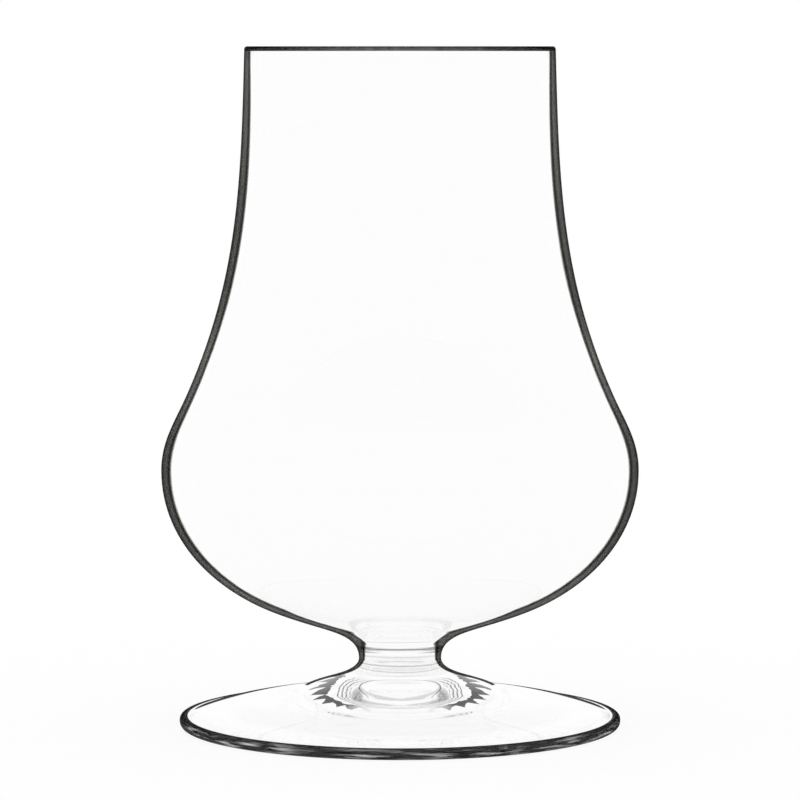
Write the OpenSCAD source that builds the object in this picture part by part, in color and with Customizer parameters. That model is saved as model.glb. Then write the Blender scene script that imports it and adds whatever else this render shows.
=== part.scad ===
// Whisky nosing glass: a blown tulip bowl on a short hollow stem and a pressed round foot.
// The three pieces are clear glass, flame-welded to each other around one upright axis.
// The origin is the centre of the ring that the foot rests on.

/* [Bowl] */
// Height of the whole glass
glass_h = 115.5; // [110:0.1:122]
// Outside diameter at the rim
rim_d = 52.5; // [48:0.1:57]
// Lean of the wall at the rim, in degrees out from upright
rim_lean = 1.6; // [0:0.1:4]
// Outside diameter where the wall turns from hollow to round
turn_d = 72.3; // [69:0.1:75]
// Height of that turn
turn_z = 56.6; // [54:0.1:60]
// Lean of the wall at the turn, in degrees out from upright
turn_lean = 24; // [19:0.5:29]
// Widest outside diameter
belly_d = 81; // [79:0.1:84]
// Height of the widest place
belly_z = 43.8; // [41:0.1:46]
// Outside diameter where the belly runs out below
under_d = 46.1; // [40:0.1:52]
// Height of that place
under_z = 20.5; // [19:0.1:22]
// Lean of the wall there, in degrees in from upright
under_lean = 66.9; // [62:0.5:71]

/* [Bowl walls] */
// Wall at the rounded rim
rim_wall = 1; // [0.8:0.05:1.4]
// How fast the wall thickens below the rim, in degrees
rim_taper = 2.2; // [0:0.1:4]
// Wall at the turn
turn_wall = 1.3; // [1:0.05:2]
// Wall at the widest place
belly_wall = 1.5; // [1.1:0.05:2.2]
// Wall under the belly
under_wall = 1.2; // [1:0.05:1.8]

/* [Stem] */
// Outside diameter at the narrowest place, where the stem meets the foot
neck_d = 14; // [12:0.1:16]
// Height of the narrowest place
neck_z = 11.6; // [10.5:0.1:13]
// Wall of the stem at the narrowest place
neck_wall = 0.95; // [0.8:0.05:1.6]
// Share of the curve from belly to neck that is bowl; the rest of it is stem
bowl_share = 0.6; // [0.45:0.01:0.75]

/* [Foot] */
// Widest diameter of the foot
foot_d = 75.1; // [72:0.1:84]
// Height of the widest place of the foot's edge
edge_z = 1.2; // [0.9:0.05:1.6]
// How far in from the edge the foot's top starts to round over
lip_inset = 1.95; // [1.5:0.05:3]
// Height of that place
lip_z = 2; // [1.8:0.05:2.6]
// Slope of the foot's top there, in degrees from upright
lip_lean = 69.3; // [66:0.1:78]
// How far out from the neck its flare straightens
flare_w = 9.05; // [7:0.05:11]
// Height of that place
flare_z = 6.8; // [6.2:0.1:7.4]
// Slope of the foot's top there, in degrees from upright
flare_lean = 65.3; // [61:0.1:70]
// How far in from the edge the foot's flat resting ring starts
rest_inset = 1.6; // [1.2:0.05:3]
// Width of that ring
rest_w = 1.4; // [1:0.1:3]
// Rise of the hollow under the foot
hollow_rise = 4; // [0.3:0.1:5]
// How much wider than the neck's hollow the well gets on each side
well_flare = 0.15; // [0:0.05:0.5]
// Height of the well's bottom
well_z = 7.8; // [7:0.1:8.6]
// Width of the round at the well's bottom
well_round_w = 2.5; // [1.5:0.1:4]
// Height of the round at the well's bottom
well_round_h = 1.2; // [0.6:0.1:1.8]

/* [Hidden] */
// Steps along one curve of the outline, round the rim, and round the axis
curve_steps = 14;
rim_steps = 10;
$fn = 128;
// How far a curve keeps its first and last direction, as shares of its span
pull_share = 0.37;
long_pull_share = 0.52;
neck_pull_share = 0.26;
flare_pull_share = 0.3;
edge_pull_share = 0.4;
round_pull_share = 0.55;

// Places on the outside of the glass, each a radius and a height
rim_at = [rim_d / 2, glass_h - rim_wall / 2];
turn_at = [turn_d / 2, turn_z];
belly_at = [belly_d / 2, belly_z];
under_at = [under_d / 2, under_z];
neck_at = [neck_d / 2, neck_z];
flare_at = neck_at + [flare_w, flare_z - neck_z];
edge_at = [foot_d / 2, edge_z];
lip_at = edge_at + [-lip_inset, lip_z - edge_z];
rest_at = edge_at - [rest_inset, edge_z];
// Places under the foot and in its well
hollow_at = rest_at - [rest_w, 0];
well_bottom_at = [neck_d / 2 - neck_wall + well_flare - well_round_w, well_z];
well_at = well_bottom_at + [well_round_w, well_round_h];

// Direction of a wall that is followed downwards and leans out by the angle
function heading(lean) = [sin(lean), -cos(lean)];

// The place a wall's thickness in from its outside
function inset(at, lean, wall) = at - wall * [cos(lean), sin(lean)];

// One point of a cubic curve
function cubic(a, b, c, d, t) =
    pow(1 - t, 3) * a + 3 * pow(1 - t, 2) * t * b + 3 * (1 - t) * pow(t, 2) * c + pow(t, 3) * d;

// The points of a smooth curve between two places with their leans, or of a part of it
function bend(a, a_lean, b, b_lean, a_share, b_share, first = 0, last = 1) =
    let (span = norm(b - a))
    let (a_pull = a + a_share * span * heading(a_lean))
    let (b_pull = b - b_share * span * heading(b_lean))
    [for (i = [0 : curve_steps])
        cubic(a, a_pull, b_pull, b, first + (last - first) * i / curve_steps)];

// A list of points without its first, or in the opposite order
function rest_of(points) = [for (i = [1 : len(points) - 1]) points[i]];
function reversed(points) = [for (i = [len(points) - 1 : -1 : 0]) points[i]];

// One side of the wall from the rim to the place under the belly
function side(rim, lean, turn, belly, under) = concat(
    bend(rim, lean, turn, turn_lean, pull_share, pull_share),
    rest_of(bend(turn, turn_lean, belly, 0, pull_share, pull_share)),
    rest_of(bend(belly, 0, under, -under_lean, pull_share, pull_share)));

// One side of the wall from there to the neck, or a part of it
function throat(under, neck, first, last) =
    bend(under, -under_lean, neck, 0, long_pull_share, neck_pull_share, first, last);

// The same places on the inside of the wall
rim_in = inset(rim_at, rim_lean, rim_wall);
turn_in = inset(turn_at, turn_lean, turn_wall);
belly_in = inset(belly_at, 0, belly_wall);
under_in = inset(under_at, -under_lean, under_wall);
neck_in = inset(neck_at, 0, neck_wall);

// The rounded rim, from the inside over the top to the outside
rim_mid = inset(rim_at, rim_lean, rim_wall / 2);
rim_round = [for (i = [1 : rim_steps - 1])
    let (turned = 180 * i / rim_steps)
    rim_mid + rim_wall / 2 * [-cos(turned + rim_lean), sin(turned + rim_lean)]];

bowl_outline = concat(
    rim_round,
    side(rim_at, rim_lean, turn_at, belly_at, under_at),
    rest_of(throat(under_at, neck_at, 0, bowl_share)),
    reversed(concat(
        side(rim_in, rim_lean - rim_taper, turn_in, belly_in, under_in),
        rest_of(throat(under_in, neck_in, 0, bowl_share)))));

stem_outline = concat(
    throat(under_at, neck_at, bowl_share, 1),
    reversed(throat(under_in, neck_in, bowl_share, 1)));

foot_outline = concat(
    bend(neck_at, 0, flare_at, flare_lean, neck_pull_share, neck_pull_share),
    rest_of(bend(flare_at, flare_lean, lip_at, lip_lean, flare_pull_share, pull_share)),
    rest_of(bend(lip_at, lip_lean, edge_at, 0, edge_pull_share, round_pull_share)),
    rest_of(bend(edge_at, 0, rest_at, -90, round_pull_share, edge_pull_share)),
    [for (i = [0 : curve_steps])
        let (share = i / curve_steps)
        [hollow_at[0] * (1 - share), hollow_rise * (1 - pow(1 - share, 2))]],
    reversed(bend(well_at, 0, well_bottom_at, -90, round_pull_share, round_pull_share)),
    [neck_in]);

// Blown bowl, open at the rim and drawn in below to the stem
module bowl() {
    color([0.87, 0.9, 0.91, 0.5]) rotate_extrude() polygon(bowl_outline);
}

// Short hollow stem, welded to the bowl above and to the foot below
module stem() {
    color([0.8, 0.85, 0.87, 0.6]) rotate_extrude() polygon(stem_outline);
}

// Pressed foot, whose top sweeps up to the stem and holds the well that closes the hollow
module foot() {
    color([0.84, 0.88, 0.9, 0.5]) rotate_extrude() polygon(foot_outline);
}

bowl();
stem();
foot();
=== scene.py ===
# A whisky nosing glass: bowl, stem and foot of clear glass, each a closed piece, on a white table.
# Outlines are worked out in millimetres, as a radius and a height, and meshes are in metres.
from functools import partial
from math import cos, pi, radians, sin, tan

import bmesh
import bpy
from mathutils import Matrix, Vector


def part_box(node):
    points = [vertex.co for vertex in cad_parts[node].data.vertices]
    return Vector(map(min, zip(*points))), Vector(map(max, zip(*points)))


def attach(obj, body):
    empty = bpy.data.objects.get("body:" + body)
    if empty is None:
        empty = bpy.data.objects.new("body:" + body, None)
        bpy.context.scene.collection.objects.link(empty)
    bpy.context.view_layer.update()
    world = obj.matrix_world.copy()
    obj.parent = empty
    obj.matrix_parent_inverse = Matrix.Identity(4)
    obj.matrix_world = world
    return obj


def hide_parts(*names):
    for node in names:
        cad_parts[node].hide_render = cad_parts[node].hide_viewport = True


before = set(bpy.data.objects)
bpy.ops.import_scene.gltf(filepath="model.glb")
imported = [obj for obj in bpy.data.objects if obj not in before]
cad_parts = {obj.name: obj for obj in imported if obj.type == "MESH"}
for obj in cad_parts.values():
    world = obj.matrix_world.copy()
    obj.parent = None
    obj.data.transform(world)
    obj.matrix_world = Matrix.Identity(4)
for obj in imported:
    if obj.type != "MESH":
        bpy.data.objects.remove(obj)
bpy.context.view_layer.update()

# Bowl
# One piece of clear glass, blown into a tulip: a round belly that draws in to a tall mouth.
# The rim is cut and fire-polished round. Under the belly the wall is drawn in to an open end,
# which is welded to the stem.
mm = 0.001
bowl_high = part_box("bowl")[1]
foot_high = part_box("foot")[1]
glass_h = bowl_high.z / mm
belly_d = 2 * bowl_high.x / mm
belly_z = 43.8
rim_d = 52.5
rim_lean = 1.6
turn_d = 72.3
turn_z = 56.6
turn_lean = 24
under_d = 46.1
under_z = 20.5
under_lean = 66.9
under_steepest_lean = 70
rim_wall = 1
rim_taper = 2.2
turn_wall = 1.3
belly_wall = 1.5
under_wall = 1.2
bowl_share = 0.6
neck_d = 14
neck_z = foot_high.z / mm
neck_wall = 0.95
# Painted shade: a wall is painted dark where it is looked along, in place of the dark that real
# glass shows there from its surroundings. The rounded rim is painted dark all over, and the inside of a
# wall hardly at all.
rim_seen_wall = rim_d
rim_band_h = 0.2
rim_band_fade = 0.1
inside_seen_wall = 0.01
# What each point of a mesh carries for its painted dark outline, with limits where the glass lies
# flat and near the axis. A circle smaller than the axis radius is a single point.
outline_marks = ("Wall", "Upright", "Around", "Along")
least_upright = 0.05
least_radius = 1
axis_radius = 0.001
curve_steps = 28
rim_steps = 16
sides = 256
sharp_angle = radians(35)
pull_share = 0.37
long_pull_share = 0.52
neck_pull_share = 0.26


def heading(lean):
    """Direction of a wall that is followed downwards and leans out by the angle."""
    return Vector((sin(radians(lean)), -cos(radians(lean))))


def inset(at, lean, wall):
    """The place a wall's thickness in from its outside."""
    return at - wall * Vector((cos(radians(lean)), sin(radians(lean))))


def bend(a, a_lean, b, b_lean, a_share, b_share, first=0, last=1):
    """The points of a smooth curve between two places with their leans, or of a part of it."""
    span = (b - a).length
    a_pull = a + a_share * span * heading(a_lean)
    b_pull = b - b_share * span * heading(b_lean)
    points = []
    for step in range(curve_steps + 1):
        t = first + (last - first) * step / curve_steps
        s = 1 - t
        points.append(s**3 * a + 3 * s**2 * t * a_pull + 3 * s * t**2 * b_pull + t**3 * b)
    return points


def with_marks(points, walls):
    """Gives each point of a curve the wall there, how upright the turned surface stands, and how
    sharply it bends round the axis and along the curve."""
    marks = []
    for before, here, after in zip(points, points[1:], points[2:]):
        run = after - before
        upright = max(abs(run.y) / run.length, least_upright)
        along = 2 * (here - before).angle_signed(after - here) / run.length
        marks.append((upright, upright / max(here.x, least_radius), along))
    marks = [marks[0], *marks, marks[-1]]
    return [(*point, wall, *others) for point, wall, others in zip(points, walls, marks)]


def walled(outside, inside):
    """The points of the outside, with the wall between it and the inside."""
    return with_marks(outside, [(point - other).length for point, other in zip(outside, inside)])


def even_walls(points, first_wall, last_wall):
    """A wall for each point of a curve, changing evenly along it."""
    step = (last_wall - first_wall) / len(points)
    return [first_wall + step * i for i in range(len(points))]


def lined(points, first_wall, last_wall):
    """The points of a curve, with a wall that changes evenly along it."""
    return with_marks(points, even_walls(points, first_wall, last_wall))


def turned(name, outline, weld_steps):
    """Turns a closed outline round the upright axis. The steps that meet another piece are welds."""
    mesh = bpy.data.meshes.new(name)
    form = bmesh.new()
    layers = [form.verts.layers.float.new(label) for label in outline_marks]
    rings = []
    for radius, height, *marks in outline:
        bearings = [2 * pi * side / sides for side in range(sides)] if radius > axis_radius else [0]
        ring = []
        for bearing in bearings:
            vert = form.verts.new((radius * mm * cos(bearing), radius * mm * sin(bearing), height * mm))
            for layer, mark in zip(layers, marks):
                vert[layer] = mark
            ring.append(vert)
        rings.append(ring)
    for step, ring in enumerate(rings):
        following = rings[(step + 1) % len(rings)]
        for side in range(sides):
            corners = [ring[side % len(ring)], ring[(side + 1) % len(ring)]]
            corners += [following[(side + 1) % len(following)], following[side % len(following)]]
            corners = list(dict.fromkeys(corners))
            if len(corners) > 2:
                face = form.faces.new(corners)
                face.smooth = step not in weld_steps
                face.material_index = int(step in weld_steps)
    bmesh.ops.recalc_face_normals(form, faces=form.faces)
    form.normal_update()
    for edge in form.edges:
        one, other = edge.link_faces
        edge.smooth = one.material_index == other.material_index and edge.calc_face_angle() < sharp_angle
    form.to_mesh(mesh)
    form.free()
    piece = bpy.data.objects.new(name, mesh)
    bpy.context.scene.collection.objects.link(piece)
    return piece


rim_at = Vector((rim_d / 2, glass_h - rim_wall / 2))
turn_at = Vector((turn_d / 2, turn_z))
belly_at = Vector((belly_d / 2, belly_z))
under_at = Vector((under_d / 2, under_z))
neck_at = Vector((neck_d / 2, neck_z))
rim_in = inset(rim_at, rim_lean, rim_wall)
turn_in = inset(turn_at, turn_lean, turn_wall)
belly_in = inset(belly_at, 0, belly_wall)
under_in = inset(under_at, -under_lean, under_wall)
neck_in = inset(neck_at, 0, neck_wall)


def side_points(rim, lean, turn, belly, under):
    """One side of the wall from the rim to the place under the belly."""
    upper = bend(rim, lean, turn, turn_lean, pull_share, pull_share)
    shoulder = bend(turn, turn_lean, belly, 0, pull_share, pull_share)
    lower = bend(belly, 0, under, -under_lean, pull_share, pull_share)
    return upper + shoulder[1:] + lower[1:]


def throat_points(under, neck, first, last):
    """The curve from the place under the belly to the neck, or a part of it."""
    return bend(under, -under_lean, neck, 0, long_pull_share, neck_pull_share, first, last)


rim_middle = (rim_at + rim_in) / 2
rim_round = []
for step in range(1, rim_steps):
    turned_by = radians(180 * step / rim_steps + rim_lean)
    rim_round.append(rim_middle + rim_wall / 2 * Vector((-cos(turned_by), sin(turned_by))))
rim_band_low = rim_at + rim_band_h * heading(rim_lean)
rim_band_end = rim_band_low + rim_band_fade * heading(rim_lean)

bowl_outside = side_points(rim_at, rim_lean, turn_at, belly_at, under_at)
bowl_outside += throat_points(under_at, neck_at, 0, bowl_share)[1:]
bowl_inside = side_points(rim_in, rim_lean - rim_taper, turn_in, belly_in, under_in)
bowl_inside += throat_points(under_in, neck_in, 0, bowl_share)[1:]
bowl_out = lined(rim_round + [rim_at, rim_band_low], rim_seen_wall, rim_seen_wall)
bowl_out += walled([rim_band_end] + bowl_outside[1:], bowl_inside)
bowl_in = lined(bowl_inside[::-1], inside_seen_wall, inside_seen_wall)
bowl = turned("bowl_glass_form", bowl_out + bowl_in, [len(bowl_out) - 1])

# Tones of the painted dark line, painted shade, that a wall shows along its outline, from the outline
# inwards. The place is in walls. The line is darkest at its two borders, and fades into the clear glass
# inside it.
line_tones = [
    (0, 0.14),
    (0.15, 0.18),
    (0.3, 0.26),
    (0.5, 0.29),
    (0.64, 0.27),
    (0.78, 0.17),
    (0.88, 0.16),
    (0.98, 0.3),
    (1.06, 0.55),
    (1.14, 0.82),
    (1.24, 0.96),
    (1.38, 1),
]
line_reach = 1.5
# How strong the painted highlights, pale streaks in that painted line, are by the height above the table
highlight_streak_strengths = [
    (11, 0.9),
    (16, 2.4),
    (25, 2.6),
    (30, 1.3),
    (34, 0.9),
    (50, 0.9),
    (56, 2.2),
    (63, 3),
    (69, 1.9),
    (75, 0.9),
    (112, 2.6),
]
# The painted highlight streaks are long and thin: how often they change in a metre, across and upwards
streaks_across = 650
streaks_upwards = 28
streak_detail = 3
streakless_light = 0.8
# The tint of the painted shade in the dark line
outline_shade_tint = (0.9, 0.85, 0.7)
clear_tint = (0.99, 0.99, 0.99)
display_gamma = 2.2
glass_ior = 1.5
# The least that the glass counts as bending, per millimetre and as a share of its bend round
# the axis, and by how much a place may seem nearer to the outline than it is
least_bend = 0.0003
least_bend_share = 0.25
sideways_slack = 1.2
sideways_free = 1.5
curl_slack = 2.5
# How much of the painted dark line is lost where it is seen through or mirrored in glass
line_lost_beyond = 0.85
# With this blend, Facing is 1 less the cosine of the angle between look and surface
plain_blend = 0.5
noise_middle = 0.5
between_meetings = 0.5


def shader_node(tree, kind, links=(), **settings):
    """Adds a shader node, sets it up, and joins the given outputs or values to its inputs."""
    made = tree.nodes.new("ShaderNode" + kind)
    for setting, value in settings.items():
        setattr(made, setting, value)
    for place, source in dict(links).items():
        if isinstance(source, bpy.types.NodeSocket):
            tree.links.new(source, made.inputs[place])
        else:
            made.inputs[place].default_value = source
    return made


def maths(tree, operation, *values):
    """One step of arithmetic between outputs and numbers."""
    return shader_node(tree, "Math", enumerate(values), operation=operation).outputs[0]


def product(tree, value, *others):
    """All the outputs and numbers multiplied."""
    for other in others:
        value = maths(tree, "MULTIPLY", value, other)
    return value


def strongest(tree, value, *others):
    """The largest of the outputs and numbers at each place."""
    for other in others:
        value = maths(tree, "MAXIMUM", value, other)
    return value


def rest_of_one(tree, value):
    """What an output lacks to be one."""
    return maths(tree, "SUBTRACT", 1, value)


def fade_in(tree, value, start, end, most):
    """Nothing while an output is below the start, and evenly more up to the most at the end."""
    return shader_node(tree, "MapRange", {0: value, 1: start, 2: end, 3: 0, 4: most}).outputs[0]


def tones_along(tree, value, stops):
    """A grey that changes evenly between stops, each a value from 0 to 1 and its tone."""
    made = shader_node(tree, "ValToRGB", {"Fac": value})
    elements = made.color_ramp.elements
    while len(elements) < len(stops):
        elements.new(1)
    for element, (place, tone) in zip(elements, stops):
        element.position = place
        element.color = (tone, tone, tone, 1)
    return made.outputs["Color"]


def noise(tree, place, scale, detail):
    """Soft random tones from 0 to 1."""
    return shader_node(tree, "TexNoise", {"Vector": place, "Scale": scale, "Detail": detail}).outputs["Fac"]


def darkness_group(name, inputs):
    """An empty group of shader nodes with named inputs, which puts out a darkness."""
    group = bpy.data.node_groups.new(name, "ShaderNodeTree")
    for label, kind in inputs:
        group.interface.new_socket(label, in_out="INPUT", socket_type="NodeSocket" + kind)
    group.interface.new_socket("Darkness", in_out="OUTPUT", socket_type="NodeSocketFloat")
    return group, group.nodes.new("NodeGroupInput"), group.nodes.new("NodeGroupOutput")


# The painted shade of the dark line along the outline, whichever side the glass is looked at from. It is
# given how far the surface, the way out from the axis and the way up are from the look: 0 along it, 1
# square to it.
outline_group, given, result = darkness_group("Painted outline shade", [
    ("Facing", "Float"),
    ("Outwards", "Float"),
    ("Upwards", "Float"),
    ("Steepest", "Float"),
    ("Place", "Vector"),
    *[(mark, "Float") for mark in outline_marks],
])
work_out = partial(maths, outline_group)
wall, upright, around, along = (given.outputs[mark] for mark in outline_marks)


def squared(value):
    """An output times itself."""
    return work_out("MULTIPLY", value, value)


# The outline of each level circle is where its lean meets the look down on it. The share says how
# much of the look goes across the curve there.
down_share = squared(rest_of_one(outline_group, given.outputs["Upwards"]))
level_share = rest_of_one(outline_group, down_share)
upright_share = squared(upright)
leaning_share = rest_of_one(outline_group, upright_share)
lean = work_out("DIVIDE", leaning_share, upright_share)
meeting = work_out("DIVIDE", work_out("MULTIPLY", lean, down_share), level_share)
outline_side = work_out("MAXIMUM", rest_of_one(outline_group, meeting), 0)
across_share = work_out("MULTIPLY", level_share, outline_side)
bend_around = work_out("MULTIPLY", around, across_share)
bend_along = work_out("MULTIPLY", along, rest_of_one(outline_group, across_share))
share_of_around = work_out("MULTIPLY", bend_around, least_bend_share)
bends = strongest(outline_group, work_out("ADD", bend_around, bend_along), share_of_around, least_bend)

# A place lies so far in from the outline as the surface turns away there, divided by how sharply
# it bends along the way it is looked at
facing_share = squared(rest_of_one(outline_group, given.outputs["Facing"]))
turned_away = work_out("SQRT", rest_of_one(outline_group, facing_share))
inwards = work_out("DIVIDE", rest_of_one(outline_group, turned_away), work_out("MULTIPLY", bends, wall))

# Where the glass spreads flat, its front is nearly looked along too, but lies far from the outline,
# which comes no nearer to the front than the steepest lean lets it
steepest = work_out("DIVIDE", work_out("MULTIPLY", given.outputs["Steepest"], down_share), level_share)
nearest_side = work_out("SQRT", work_out("MAXIMUM", rest_of_one(outline_group, steepest), 0))
front_share = squared(rest_of_one(outline_group, given.outputs["Outwards"]))
to_front = work_out("DIVIDE", front_share, level_share)
to_side = work_out("SQRT", work_out("MAXIMUM", rest_of_one(outline_group, to_front), 0))
wall_share = work_out("DIVIDE", work_out("MULTIPLY", around, wall), upright)
level_off = work_out("DIVIDE", work_out("SUBTRACT", nearest_side, to_side), wall_share)
surely_off = work_out("SUBTRACT", work_out("DIVIDE", level_off, sideways_slack), sideways_free)
square_off = work_out("MULTIPLY", surely_off, upright)

# Where the outline curls in, it leaves its tangent and lies further off
curl = work_out("MULTIPLY", wall, work_out("MAXIMUM", work_out("MULTIPLY", along, -curl_slack), 0))
swerve = product(outline_group, squared(level_off), curl, work_out("DIVIDE", leaning_share, 2))
inwards = work_out("MAXIMUM", inwards, work_out("ADD", square_off, swerve))

line = tones_along(outline_group, work_out("DIVIDE", inwards, line_reach), [
    (place / line_reach, 1 - tone**display_gamma) for place, tone in line_tones])
streaks_at = shader_node(outline_group, "VectorMath", {
    0: given.outputs["Place"],
    1: (streaks_across, streaks_across, streaks_upwards),
}, operation="MULTIPLY")
streaks = noise(outline_group, streaks_at.outputs[0], 1, streak_detail)
height_on_glass = shader_node(outline_group, "SeparateXYZ", {0: given.outputs["Place"]}).outputs["Z"]
top_height, most_streaked = (max(column) for column in zip(*highlight_streak_strengths))
streaked = tones_along(outline_group, work_out("DIVIDE", height_on_glass, top_height * mm), [
    (height / top_height, strength / most_streaked) for height, strength in highlight_streak_strengths])
streak_light = work_out("MULTIPLY", streaks, work_out("MULTIPLY", streaked, most_streaked))
full_light = work_out("ADD", streakless_light, streak_light)
light = work_out("MULTIPLY", rest_of_one(outline_group, line), full_light)
line_darkness = rest_of_one(outline_group, light)
line_darkness.node.use_clamp = True
outline_group.links.new(line_darkness, result.inputs["Darkness"])


def object_place(tree):
    """The place on the glass, from its origin."""
    return shader_node(tree, "TexCoord").outputs["Object"]


def level_part(tree):
    """The place on the glass without its height."""
    flat = shader_node(tree, "VectorMath", {0: object_place(tree), 1: (1, 1, 0)}, operation="MULTIPLY")
    return flat.outputs[0]


def look_along(tree, direction):
    """How little a place is looked at along a direction: 0 straight along it, 1 square to it."""
    return shader_node(tree, "LayerWeight", {"Blend": plain_blend, "Normal": direction}).outputs["Facing"]


def look_outwards(tree):
    """How little a place is looked at along the way out from the axis."""
    outwards = shader_node(tree, "VectorMath", {0: level_part(tree)}, operation="NORMALIZE")
    return look_along(tree, outwards.outputs[0])


def glass_meetings(tree):
    """How often a ray has met glass before it comes to a place."""
    return shader_node(tree, "LightPath").outputs["Ray Depth"]


def only_within(tree, meetings, darkness):
    """Keeps a darkness on rays up to so many meetings, so that its far images don't build up."""
    within = maths(tree, "LESS_THAN", glass_meetings(tree), meetings + between_meetings)
    return maths(tree, "MULTIPLY", darkness, within)


def only_mirrored(tree, meetings, darkness):
    """Keeps a darkness on what is seen mirrored inside the foot, after just so many meetings."""
    just_there = maths(tree, "COMPARE", glass_meetings(tree), meetings, between_meetings)
    return maths(tree, "MULTIPLY", darkness, just_there)


def clear_glass(name, steepest_lean):
    """Clear polished glass, with a dark outline painted where its wall is looked along: painted shade."""
    material = bpy.data.materials.new(name)
    material.use_nodes = True
    tree = material.node_tree
    shader = tree.nodes["Principled BSDF"]
    shader.inputs["Transmission Weight"].default_value = 1
    shader.inputs["Roughness"].default_value = 0
    shader.inputs["IOR"].default_value = glass_ior
    shader.inputs["Coat IOR"].default_value = 1
    shader.inputs["Coat Tint"].default_value = (0, 0, 0, 1)
    outline = shader_node(tree, "Group", node_tree=outline_group)
    for label in outline_marks:
        mark = shader_node(tree, "Attribute", attribute_name=label)
        tree.links.new(mark.outputs["Fac"], outline.inputs[label])
    look = shader_node(tree, "LayerWeight", {"Blend": plain_blend})
    up = shader_node(tree, "CombineXYZ", {2: 1})
    tree.links.new(look.outputs["Facing"], outline.inputs["Facing"])
    tree.links.new(look_outwards(tree), outline.inputs["Outwards"])
    tree.links.new(look_along(tree, up.outputs[0]), outline.inputs["Upwards"])
    tree.links.new(object_place(tree), outline.inputs["Place"])
    outline.inputs["Steepest"].default_value = tan(radians(steepest_lean)) ** 2
    beyond = maths(tree, "GREATER_THAN", glass_meetings(tree), between_meetings)
    kept = rest_of_one(tree, maths(tree, "MULTIPLY", beyond, line_lost_beyond))
    darkness = maths(tree, "MULTIPLY", outline.outputs["Darkness"], kept)
    # Painted shade: the darkness tints the base colour and weighs a black coat
    tint = shader_node(tree, "MixRGB", {
        "Fac": darkness,
        "Color1": (*clear_tint, 1),
        "Color2": (*outline_shade_tint, 1),
    })
    tree.links.new(darkness, shader.inputs["Coat Weight"])
    tree.links.new(tint.outputs["Color"], shader.inputs["Base Color"])
    return material


# Where two pieces are melted together there is no surface, so light goes straight through
weld = bpy.data.materials.new("weld")
weld.use_nodes = True
weld.node_tree.nodes.clear()
weld_surface = shader_node(weld.node_tree, "BsdfTransparent")
shader_node(weld.node_tree, "OutputMaterial", {"Surface": weld_surface.outputs[0]})

bowl.data.materials.append(clear_glass("bowl_glass", under_steepest_lean))
bowl.data.materials.append(weld)
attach(bowl, "root")
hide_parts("bowl")

# Stem
# A short hollow tube of drawn glass, wide above and narrowest below. It is welded on in the
# flame, above to the open end of the bowl and below to the foot.
stem_outside = throat_points(under_at, neck_at, bowl_share, 1)
stem_inside = throat_points(under_in, neck_in, bowl_share, 1)
stem_out = walled(stem_outside, stem_inside)
stem_in = lined(stem_inside[::-1], inside_seen_wall, inside_seen_wall)
stem = turned("stem_glass_form", stem_out + stem_in, [len(stem_out) - 1, len(stem_out + stem_in) - 1])

# Rings that the flame and the tools left inside, shown as painted shade: dark lines painted on the hollow's
# wall. The height of each, how dark it is painted, and half its width. The weld's is painted thicker to the
# sides, where a second, thin one is painted below it.
ring_shades = [
    (9.45, 0.8, 0.2),
    (10.1, 0.25, 0.45),
    (10.8, 1, 0.25),
    (12.5, 0.25, 0.3),
    (14.1, 0.85, 0.32),
    (15.8, 0.4, 0.12),
]
weld_ring = (14.1, 0.42)
below_weld_ring = (13.35, 0.15)
ring_ends_from = 0.04
ring_ends_to = 0.25
ring_ends_dark = 0.85
rings_low = 8
rings_reach = 8
# The rings aren't quite level: by how much, how often that changes in a metre, and how finely
ring_wander = 0.8
ring_wander_scale = 60
ring_wander_detail = 1

ring_group, given, result = darkness_group("Painted ring shade", [
    ("Place", "Vector"),
    ("In the hollow", "Float"),
    ("Sideways", "Float"),
])
in_rings = partial(maths, ring_group)
ring_place = shader_node(ring_group, "SeparateXYZ", {0: given.outputs["Place"]})
wander = noise(ring_group, given.outputs["Place"], ring_wander_scale, ring_wander_detail)
unlevel = in_rings("MULTIPLY", in_rings("SUBTRACT", wander, noise_middle), ring_wander)
ring_height = in_rings("ADD", in_rings("DIVIDE", ring_place.outputs["Z"], mm), unlevel)
up_rings = in_rings("DIVIDE", in_rings("SUBTRACT", ring_height, rings_low), rings_reach)
ring_stops = []
for ring_z, strength, ring_half in ring_shades:
    for off, tone in ((-ring_half, 0), (0, strength), (ring_half, 0)):
        ring_stops.append(((ring_z + off - rings_low) / rings_reach, tone))
marked = tones_along(ring_group, up_rings, ring_stops)
to_sides = fade_in(ring_group, given.outputs["Sideways"], ring_ends_from, ring_ends_to, ring_ends_dark)
for ring_z, ring_half in (weld_ring, below_weld_ring):
    on_ring = in_rings("COMPARE", ring_height, ring_z, ring_half)
    marked = in_rings("MAXIMUM", marked, in_rings("MULTIPLY", to_sides, on_ring))
marked = in_rings("MULTIPLY", marked, given.outputs["In the hollow"])
ring_group.links.new(marked, result.inputs["Darkness"])


def ring_darkness(tree):
    """The painted shade of the rings on the wall of the hollow, where it is seen through the glass."""
    from_within = shader_node(tree, "NewGeometry").outputs["Backfacing"]
    wall_there = shader_node(tree, "Attribute", attribute_name="Wall").outputs["Fac"]
    in_hollow = maths(tree, "LESS_THAN", wall_there, 2 * inside_seen_wall)
    marks = shader_node(tree, "Group", node_tree=ring_group)
    tree.links.new(object_place(tree), marks.inputs["Place"])
    tree.links.new(maths(tree, "MULTIPLY", from_within, in_hollow), marks.inputs["In the hollow"])
    tree.links.new(look_outwards(tree), marks.inputs["Sideways"])
    return only_within(tree, 1, marks.outputs["Darkness"])


def darken(tree, darkness):
    """Adds a painted darkness to the painted shade of the outline, where it is the stronger."""
    coat = tree.nodes["Principled BSDF"].inputs["Coat Weight"]
    tree.links.new(maths(tree, "MAXIMUM", coat.links[0].from_socket, darkness), coat)


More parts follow.
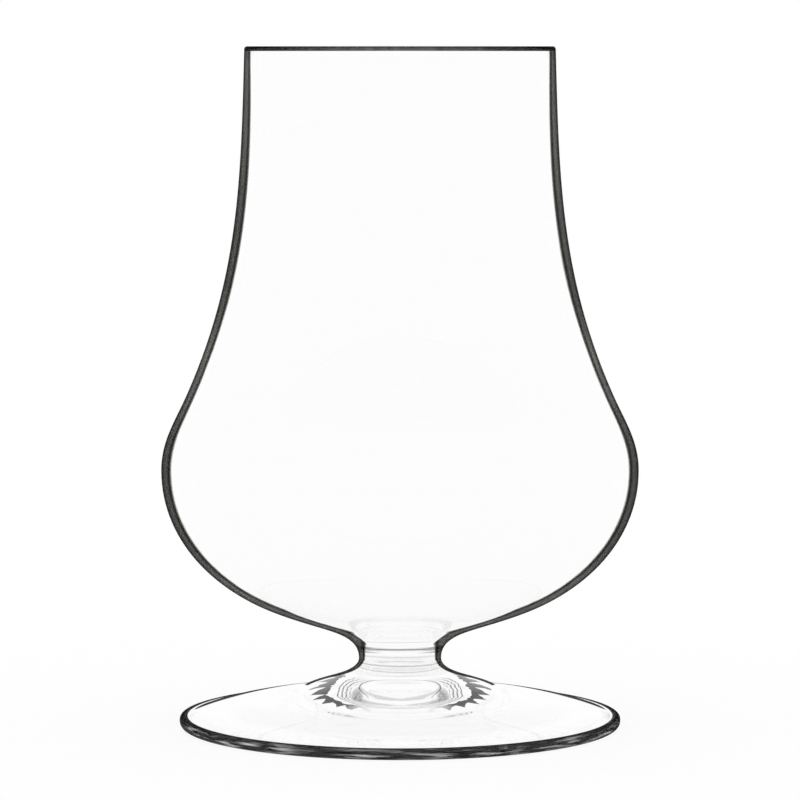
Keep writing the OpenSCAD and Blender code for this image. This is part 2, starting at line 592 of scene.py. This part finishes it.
stem_glass = clear_glass("stem_glass", under_steepest_lean)
darken(stem_glass.node_tree, ring_darkness(stem_glass.node_tree))
stem.data.materials.append(stem_glass)
stem.data.materials.append(weld)
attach(stem, "root")
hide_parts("stem")

# Foot
# A round foot of pressed glass, fire-polished. Its top sweeps up to the stem, a small well in it
# closes the stem's hollow, and it rests on a narrow ring round a hollow underside.
foot_d = 2 * foot_high.x / mm
edge_z = 1.2
lip_inset = 1.95
lip_z = 2
lip_lean = 69.3
flare_w = 9.05
flare_z = 6.8
flare_lean = 65.3
rest_inset = 1.6
rest_w = 1.4
hollow_rise = 4
well_flare = 0.15
well_z = 7.8
well_round_w = 2.5
well_round_h = 1.2
top_steepest_lean = 81
flare_seen_wall = 0.2
top_seen_wall = 0.28
edge_seen_wall = 0.5
under_seen_wall = 0.05
flare_pull_share = 0.3
edge_pull_share = 0.4
round_pull_share = 0.55

flare_at = neck_at + Vector((flare_w, flare_z - neck_z))
edge_at = Vector((foot_d / 2, edge_z))
lip_at = edge_at + Vector((-lip_inset, lip_z - edge_z))
rest_at = edge_at - Vector((rest_inset, edge_z))
hollow_at = rest_at - Vector((rest_w, 0))
well_bottom_at = Vector((neck_d / 2 - neck_wall + well_flare - well_round_w, well_z))
well_at = well_bottom_at + Vector((well_round_w, well_round_h))

sweep = bend(neck_at, 0, flare_at, flare_lean, neck_pull_share, neck_pull_share)
slope = bend(flare_at, flare_lean, lip_at, lip_lean, flare_pull_share, pull_share)[1:]
lip = bend(lip_at, lip_lean, edge_at, 0, edge_pull_share, round_pull_share)[1:]
turn_under = bend(edge_at, 0, rest_at, -90, round_pull_share, edge_pull_share)[1:]
underside = []
well_floor = []
for step in range(curve_steps + 1):
    share = step / curve_steps
    underside.append(Vector((hollow_at.x * (1 - share), hollow_rise * (1 - (1 - share) ** 2))))
    well_floor.append(Vector((well_bottom_at.x * share, well_z)))
well_round = bend(well_at, 0, well_bottom_at, -90, round_pull_share, round_pull_share)[::-1][1:]
well_wall = bend(neck_in, 0, well_at, 0, pull_share, pull_share)[::-1][1:]

top_walls = even_walls(sweep, neck_wall, flare_seen_wall)
top_walls += even_walls(slope, flare_seen_wall, top_seen_wall)
foot_out = with_marks(sweep + slope, top_walls)
foot_out += lined(lip, top_seen_wall, edge_seen_wall)
foot_out += lined(turn_under, edge_seen_wall, under_seen_wall)
foot_in = lined(underside + well_floor, under_seen_wall, under_seen_wall)
foot_in += lined(well_round + well_wall, inside_seen_wall, inside_seen_wall)
foot = turned("foot_glass_form", foot_out + foot_in, [len(foot_out + foot_in) - 1])

foot_glass = clear_glass("foot_glass", top_steepest_lean)
foot_tree = foot_glass.node_tree
on_foot = partial(maths, foot_tree)
foot_place = shader_node(foot_tree, "SeparateXYZ", {0: object_place(foot_tree)})
from_axis = shader_node(foot_tree, "VectorMath", {
    0: level_part(foot_tree)}, operation="LENGTH").outputs["Value"]
foot_height = foot_place.outputs["Z"]
bearing = on_foot("ARCTAN2", foot_place.outputs["Y"], foot_place.outputs["X"])
from_inside = shader_node(foot_tree, "NewGeometry").outputs["Backfacing"]
foot_look = look_outwards(foot_tree)

# Painted shade: the rounded edge is painted dark all round, with painted highlights as paler streaks along
# its middle
edge_band_inset = 0.6
edge_darkness = 0.96
edge_streaks_round = 6
edge_streak_h = 0.5
edge_streak_detail = 4
edge_streaks_from = 0.5
edge_streaks_to = 0.8
edge_streak_light = 3.2
edge_streaks_at = shader_node(foot_tree, "CombineXYZ", {
    0: on_foot("MULTIPLY", bearing, edge_streaks_round),
    1: on_foot("DIVIDE", foot_height, edge_streak_h * mm),
})
edge_highlight_streaks = tones_along(
    foot_tree,
    noise(foot_tree, edge_streaks_at.outputs[0], 1, edge_streak_detail),
    [(edge_streaks_from, 0), (edge_streaks_to, 1)],
)
up_edge = on_foot("DIVIDE", foot_height, lip_z * mm)
edge_middle = on_foot("MULTIPLY", up_edge, rest_of_one(foot_tree, up_edge))
edge_highlight = product(foot_tree, edge_middle, edge_streak_light, edge_highlight_streaks)
edge_dark = product(
    foot_tree,
    on_foot("GREATER_THAN", from_axis, (lip_at.x + edge_band_inset) * mm),
    rest_of_one(foot_tree, from_inside),
    on_foot("SUBTRACT", edge_darkness, edge_highlight),
)
edge_dark = only_within(foot_tree, 0, edge_dark)

# Painted reflection: round the well the flare is painted with the dark of the stem's outline that it
# mirrors, torn into petals by a noise that stands for its ripples
petal_near = 10.8
petal_far = 14.3
petal_depth = 2.5
petal_count = 26
petal_low = 4
petals_from = 0.4
petals_to = 0.55
ripples_round = 5
ripple_detail = 2
ripple_reach = 3
ripples_at = shader_node(foot_tree, "CombineXYZ", {0: on_foot("MULTIPLY", bearing, ripples_round)})
ripples = noise(foot_tree, ripples_at.outputs[0], 1, ripple_detail)
ripple = on_foot("MULTIPLY", on_foot("SUBTRACT", ripples, noise_middle), ripple_reach * mm)
from_side = on_foot("ARCTAN2", foot_place.outputs["Y"], on_foot("ABSOLUTE", foot_place.outputs["X"]))
along_petal = on_foot("FRACT", on_foot("MULTIPLY", from_side, petal_count / (2 * pi)))
petal_end = on_foot("SUBTRACT", petal_far * mm, on_foot("MULTIPLY", along_petal, petal_depth * mm))
petal = product(
    foot_tree,
    on_foot("LESS_THAN", from_axis, on_foot("ADD", petal_end, ripple)),
    on_foot("GREATER_THAN", from_axis, on_foot("SUBTRACT", petal_near * mm, ripple)),
    on_foot("GREATER_THAN", foot_height, petal_low * mm),
    from_inside,
    fade_in(foot_tree, foot_look, petals_from, petals_to, 1),
)

# Inside the petals thin rings are painted on the flare as a painted reflection, broken up along their
# length
arc_near = 7.6
arc_far = 9.6
arc_gap = 0.62
arc_share = 0.35
arc_ripple_share = 0.3
arcs_from = 0.2
arcs_to = 0.5
arc_darkness = 0.75
rippled = on_foot("ADD", from_axis, on_foot("MULTIPLY", ripple, arc_ripple_share))
across_arcs = on_foot("FRACT", on_foot("DIVIDE", rippled, arc_gap * mm))
arc = product(
    foot_tree,
    on_foot("LESS_THAN", across_arcs, arc_share),
    on_foot("GREATER_THAN", from_axis, arc_near * mm),
    on_foot("LESS_THAN", from_axis, arc_far * mm),
    from_inside,
    fade_in(foot_tree, foot_look, arcs_from, arcs_to, arc_darkness),
)

# Painted shade: the round of the well's bottom is painted as a dark crescent, painted darker where it is
# looked past
crescent_low = 0.1
crescent_high = 0.5
crescent_darkness = 0.3
round_high = 1.1
looked_past_from = 0.4
looked_past_to = 0.7
looked_past_darkness = 0.95
lower_crescent_share = 0.7
lower_arc_share = 0.9
in_well = on_foot("MULTIPLY", from_inside, on_foot("LESS_THAN", from_axis, well_at.x * mm))


def on_round(low, high):
    """The part of the round at the well's bottom that lies so far above the bottom."""
    middle = well_z + (low + high) / 2
    return on_foot("MULTIPLY", in_well, on_foot(
        "COMPARE", foot_height, middle * mm, (high - low) / 2 * mm))


crescent = on_round(crescent_low, crescent_high)
looked_past = fade_in(
    foot_tree,
    shader_node(foot_tree, "LayerWeight", {"Blend": plain_blend}).outputs["Facing"],
    looked_past_from,
    looked_past_to,
    looked_past_darkness,
)
well_line = strongest(
    foot_tree,
    on_foot("MULTIPLY", crescent, crescent_darkness),
    on_foot("MULTIPLY", on_round(0, round_high), looked_past),
)

# All of these are painted reflections, kept only where the underside mirrors them, and the crescent and the
# arcs show again
# lower down: after how many meetings with the glass a ray comes to each
all_mirrored = 2
lower_crescent_mirrored = 3
lower_arcs_mirrored = 4
painted_in_foot = strongest(foot_tree, petal, arc, well_line)
lower_crescent = on_foot("MULTIPLY", crescent, lower_crescent_share)
lower_arc = on_foot("MULTIPLY", arc, lower_arc_share)
mirrored = strongest(
    foot_tree,
    only_mirrored(foot_tree, all_mirrored, painted_in_foot),
    only_mirrored(foot_tree, lower_crescent_mirrored, lower_crescent),
    only_mirrored(foot_tree, lower_arcs_mirrored, lower_arc),
)

# From inside the foot its painted dark outline is only half as dark
outline_kept_inside = 0.5
darken(foot_tree, ring_darkness(foot_tree))
foot_coat = foot_tree.nodes["Principled BSDF"].inputs["Coat Weight"]
outline_lost = on_foot("MULTIPLY", from_inside, 1 - outline_kept_inside)
outline_dark = on_foot("MULTIPLY", foot_coat.links[0].from_socket, rest_of_one(foot_tree, outline_lost))
foot_tree.links.new(strongest(foot_tree, outline_dark, edge_dark, mirrored), foot_coat)

foot.data.materials.append(foot_glass)
foot.data.materials.append(weld)
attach(foot, "root")
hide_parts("foot")

# Table and light
# A white table top that runs out of sight, in an even white room. The table glows as bright as
# the room, and a share of it is white paint, which takes the glass's soft shadow.
table_reach = 30
table_gap = 0.05
shadow_share = 0.15
table_white = 0.9
white = (1, 1, 1, 1)
glow_level = (1 - shadow_share * table_white) / (1 - shadow_share)

table_mesh = bpy.data.meshes.new("table")
table_form = bmesh.new()
bmesh.ops.create_grid(table_form, size=table_reach)
bmesh.ops.translate(table_form, vec=(0, 0, -table_gap * mm), verts=table_form.verts)
table_form.to_mesh(table_mesh)
table_form.free()
table = bpy.data.objects.new("table", table_mesh)
bpy.context.scene.collection.objects.link(table)
table_top = bpy.data.materials.new("table_top")
table_top.use_nodes = True
table_top.node_tree.nodes.clear()
glow = shader_node(table_top.node_tree, "Emission", {"Color": white, "Strength": glow_level})
paint = shader_node(table_top.node_tree, "BsdfDiffuse", {
    "Color": (table_white, table_white, table_white, 1)})
glow_and_paint = shader_node(table_top.node_tree, "MixShader", {
    0: shadow_share,
    1: glow.outputs[0],
    2: paint.outputs[0],
})
shader_node(table_top.node_tree, "OutputMaterial", {"Surface": glow_and_paint.outputs[0]})
table_mesh.materials.append(table_top)

room = bpy.data.worlds.new("white_room")
bpy.context.scene.world = room
room.use_nodes = True
room.node_tree.nodes.clear()
room_light = shader_node(room.node_tree, "Background", {"Color": white, "Strength": 1})
shader_node(room.node_tree, "OutputWorld", {"Surface": room_light.outputs[0]})

# Light is followed far enough through the foot, where it goes to and fro many times
bounces = 80
scene = bpy.context.scene
scene.view_settings.view_transform = "Standard"
scene.cycles.use_denoising = True
scene.cycles.max_bounces = bounces
scene.cycles.transmission_bounces = bounces
scene.cycles.glossy_bounces = bounces
scene.cycles.transparent_max_bounces = bounces

# Camera
# It stands well back, level with the rim, and looks slightly down at the glass.
camera_distance = 731.1
camera_height = 115.57
looks_down = radians(4.684)
picture_size = 800
focal_pixels = 4324.3
camera_data = bpy.data.cameras.new("camera")
camera = bpy.data.objects.new("camera", camera_data)
scene.collection.objects.link(camera)
camera.location = (0, -camera_distance * mm, camera_height * mm)
camera.rotation_euler = (pi / 2 - looks_down, 0, 0)
camera_data.lens = camera_data.sensor_width * focal_pixels / picture_size
scene.camera = camera
